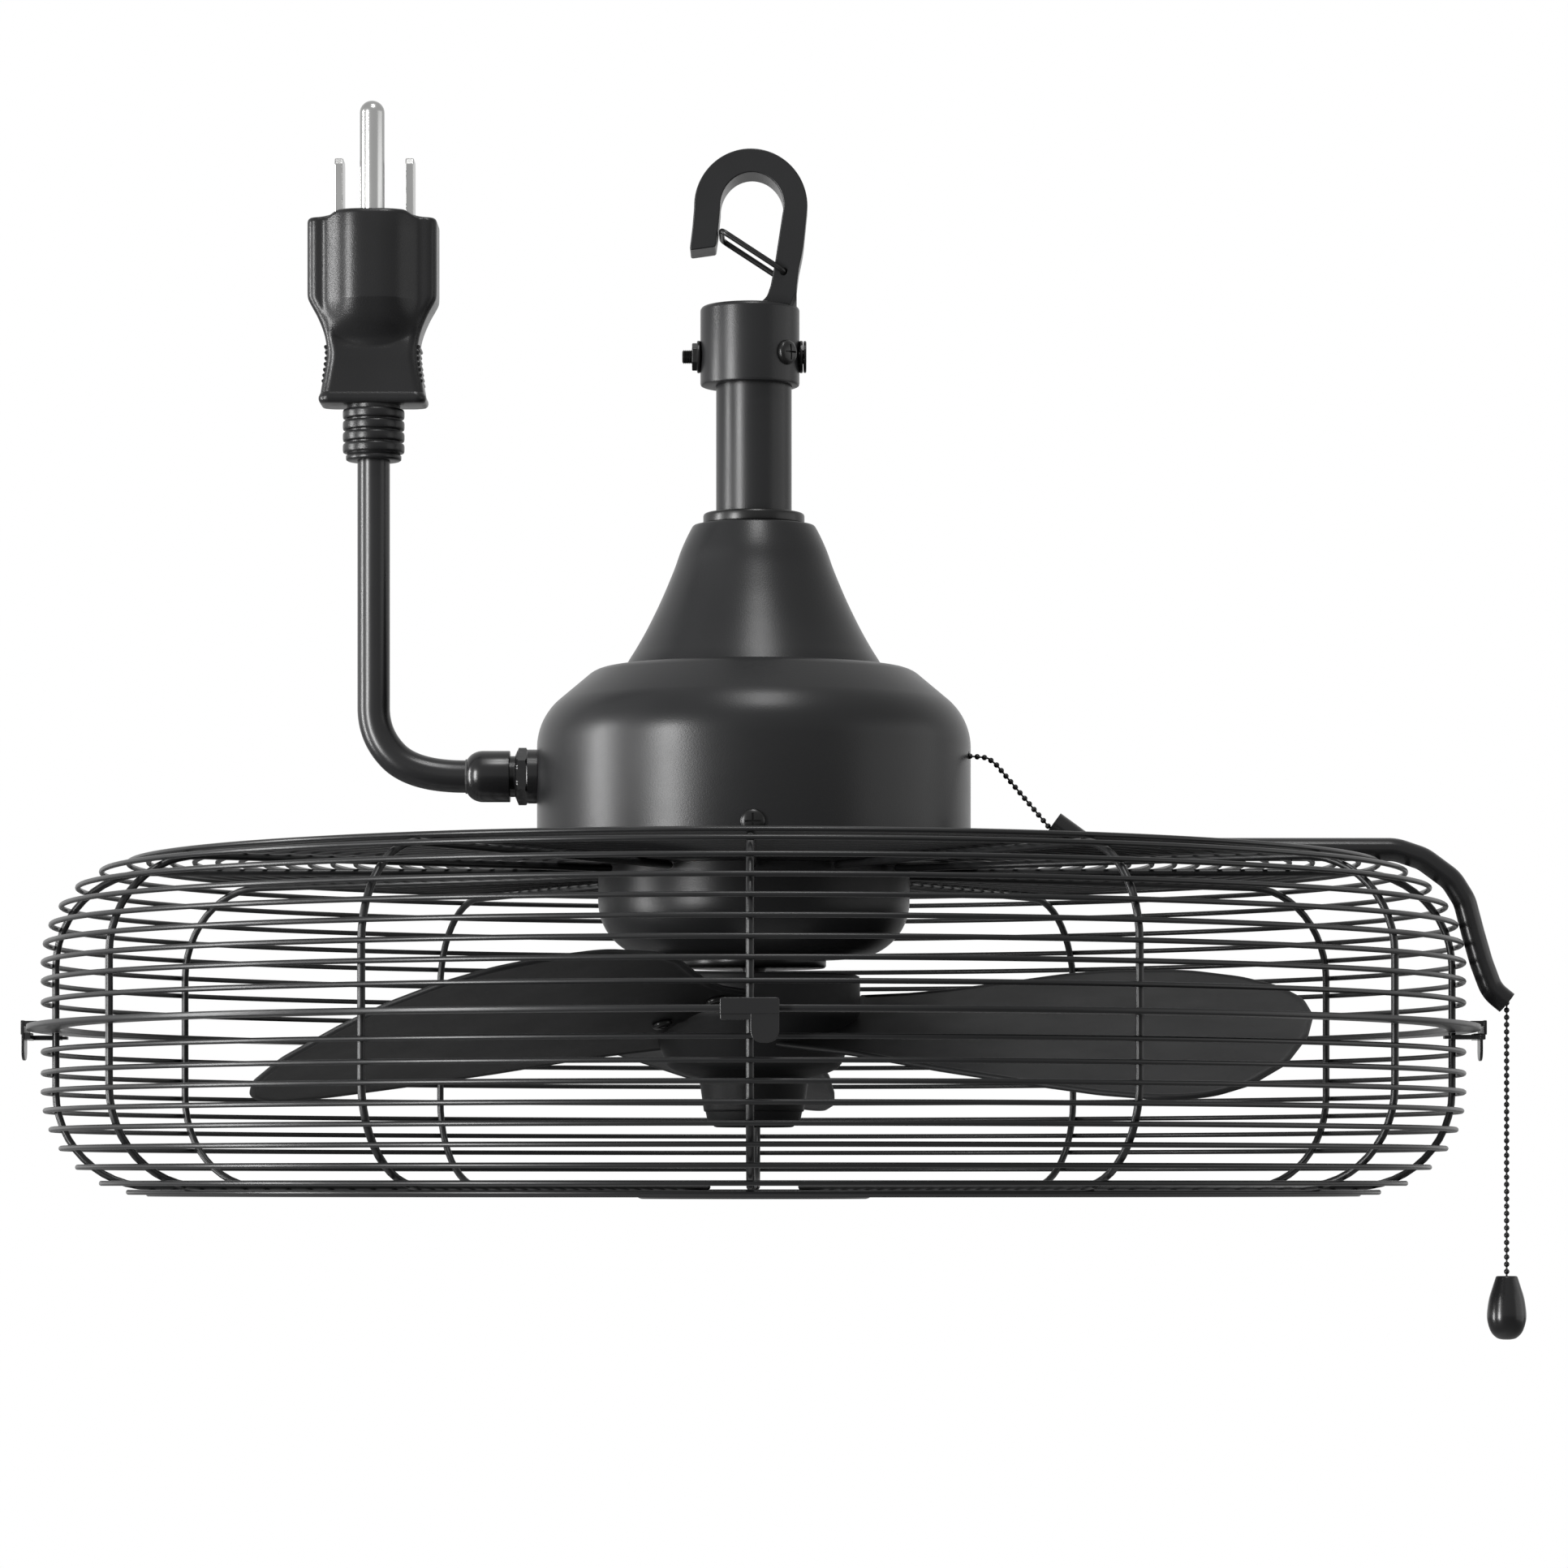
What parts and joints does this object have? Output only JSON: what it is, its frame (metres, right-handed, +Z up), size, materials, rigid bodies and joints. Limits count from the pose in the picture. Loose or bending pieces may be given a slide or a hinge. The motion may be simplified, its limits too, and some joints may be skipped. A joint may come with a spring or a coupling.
{
  "type": "outdoor ceiling fan",
  "caption": "Caged outdoor ceiling fan that hangs from a snap hook, with blades below its motor, a supply cord with a plug and a pull chain led over its wire guard.",
  "frame": {"origin": "centre of the hook's bow, on its plate's middle plane", "axes": "+Z up along the fan's axis, +Y from the front to the back along the bow's axis, +X to the right, where the chain hangs"},
  "size_m": [0.529, 0.5154, 0.4371],
  "materials": {
    "frame_black": "satin powder coat",
    "wire_black": "satin powder coat",
    "blade_black": "matte powder coat",
    "fastener_black": "black oxide",
    "plastic_black": "gloss",
    "rubber_black": "satin",
    "pin_nickel": "polished",
    "inner_steel": "bare",
    "winding": "enamelled wire",
    "capacitor_white": "matte"
  },
  "bodies": {
    "fan_body": {"hook_collar": "frame_black", "down_rod": "frame_black", "trim_washer": "frame_black", "cone_cover": "frame_black", "motor_housing": "frame_black", "mounting_plate": "frame_black", "lower_bell": "frame_black", "end_plate": "frame_black", "upper_side_rings": "wire_black", "lower_side_rings": "wire_black", "upper_grille_rings": "wire_black", "lower_grille_rings": "wire_black", "upper_guard_ribs": "wire_black", "lower_guard_ribs": "wire_black", "upper_guard_band": "wire_black", "lower_guard_band": "wire_black", "guard_centre_disc": "wire_black", "collar_bolt": "fastener_black", "collar_washers": "fastener_black", "collar_nut": "fastener_black", "set_screw": "fastener_black", "housing_screws": "fastener_black", "upper_chain": "fastener_black", "gland_body": "plastic_black", "gland_cap": "plastic_black", "plug_body": "plastic_black", "strain_relief": "plastic_black", "guide_tube": "plastic_black", "pull_switch": "plastic_black", "cord": "rubber_black", "gland_seal": "rubber_black", "ground_pin": "pin_nickel", "plug_blades": "pin_nickel", "rod_coupling": "inner_steel", "coupling_pin": "inner_steel", "bearing_bracket": "inner_steel", "bearings": "inner_steel", "stator_core": "inner_steel", "stator_windings": "winding", "capacitor": "capacitor_white"},
    "rotor": {"motor_shaft": "inner_steel", "rotor_core": "inner_steel", "hub": "frame_black", "blade_a": "blade_black", "blade_b": "blade_black", "blade_c": "blade_black", "blade_screws": "fastener_black", "spinner": "frame_black"},
    "gate": {"wire_gate": "fastener_black"},
    "pull_chain": {"lower_chain": "fastener_black", "fob": "plastic_black"},
    "clip_front_piece": {"clip_front": "wire_black"},
    "clip_back_piece": {"clip_back": "wire_black"},
    "clip_left_piece": {"clip_left": "wire_black"},
    "clip_right_piece": {"clip_right": "wire_black"}
  },
  "joints": [
    {"name": "rotor_spin", "type": "hinge", "parent": "fan_body", "child": "rotor", "pos_m": [0.0014, 0, -0.285], "axis": [0, 0, 1], "continuous": true},
    {"name": "gate_pivot", "type": "hinge", "parent": "fan_body", "child": "gate", "pos_m": [0.012, 0, -0.0231], "axis": [0, 1, 0], "range_deg": [0, 45], "stiffness_Nm_per_rad": 0.03, "springref_deg": -20.05},
    {"name": "chain_pull", "type": "slide", "parent": "fan_body", "child": "pull_chain", "axis": [0, 0, -1], "range_m": [0, 0.006], "stiffness_N_per_m": 400, "springref_m": -0.001},
    {"name": "front_clip_pull", "type": "slide", "parent": "fan_body", "child": "clip_front_piece", "axis": [0, -1, 0], "range_m": [0, 0.014]},
    {"name": "back_clip_pull", "type": "slide", "parent": "fan_body", "child": "clip_back_piece", "axis": [0, 1, 0], "range_m": [0, 0.014]},
    {"name": "left_clip_pull", "type": "slide", "parent": "fan_body", "child": "clip_left_piece", "axis": [-1, 0, 0], "range_m": [0, 0.014]},
    {"name": "right_clip_pull", "type": "slide", "parent": "fan_body", "child": "clip_right_piece", "axis": [1, 0, 0], "range_m": [0, 0.014]}
  ]
}
